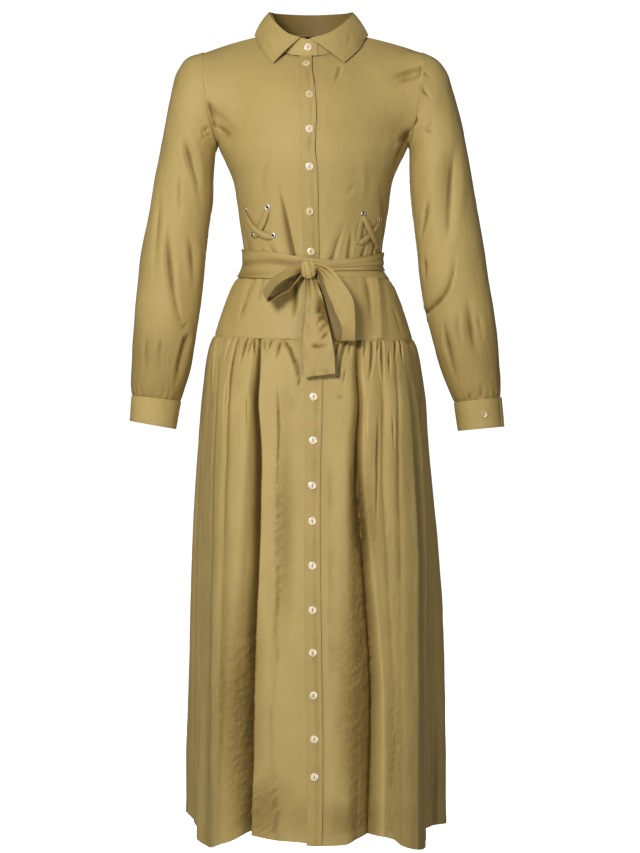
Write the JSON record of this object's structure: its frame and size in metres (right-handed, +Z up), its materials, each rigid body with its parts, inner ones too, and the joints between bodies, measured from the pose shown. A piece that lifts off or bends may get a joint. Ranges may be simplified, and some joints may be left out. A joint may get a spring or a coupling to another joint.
{
  "type": "shirt dress",
  "caption": "Ankle-length shirt dress with pointed collar, button front, long cuffed sleeves, laced waist sides, tied belt and a skirt gathered on a hip seam, in olive gold cloth",
  "frame": {"origin": "midway between the two neck points of the shoulder seams, where the dress is carried", "axes": "+Z up along the dress, front facing -Y, +X towards the wearer's left"},
  "size_m": [0.6173, 0.3709, 1.3556],
  "materials": {
    "dress_cloth": "soft low sheen, fine crinkle",
    "shell_button": "pearly",
    "eyelet_metal": "polished, slightly pink",
    "label_cloth": "matt"
  },
  "bodies": {
    "root": {"basque_back": "dress_cloth", "basque_front_left": "dress_cloth", "basque_front_right": "dress_cloth", "belt_band": "dress_cloth", "belt_knot": "dress_cloth", "belt_loop_left": "dress_cloth", "belt_loop_right": "dress_cloth", "belt_tail_over": "dress_cloth", "belt_tail_under": "dress_cloth", "bodice_back": "dress_cloth", "bodice_front_left": "dress_cloth", "bodice_front_right": "dress_cloth", "button_01": "shell_button", "button_02": "shell_button", "button_03": "shell_button", "button_04": "shell_button", "button_05": "shell_button", "button_06": "shell_button", "button_07": "shell_button", "button_08": "shell_button", "button_09": "shell_button", "button_10": "shell_button", "button_11": "shell_button", "button_12": "shell_button", "button_13": "shell_button", "button_14": "shell_button", "button_15": "shell_button", "button_16": "shell_button", "button_17": "shell_button", "button_18": "shell_button", "button_19": "shell_button", "button_cuff_left": "shell_button", "button_cuff_right": "shell_button", "collar_fall": "dress_cloth", "collar_stand": "dress_cloth", "cuff_left": "dress_cloth", "cuff_right": "dress_cloth", "eyelet_left_1": "eyelet_metal", "eyelet_left_2": "eyelet_metal", "eyelet_left_3": "eyelet_metal", "eyelet_left_4": "eyelet_metal", "eyelet_right_1": "eyelet_metal", "eyelet_right_2": "eyelet_metal", "eyelet_right_3": "eyelet_metal", "eyelet_right_4": "eyelet_metal", "lace_left_over": "dress_cloth", "lace_left_under": "dress_cloth", "lace_right_over": "dress_cloth", "lace_right_under": "dress_cloth", "neck_label": "label_cloth", "placket": "dress_cloth", "skirt_back": "dress_cloth", "skirt_front_left": "dress_cloth", "skirt_front_right": "dress_cloth", "sleeve_left": "dress_cloth", "sleeve_right": "dress_cloth"}
  },
  "joints": []
}
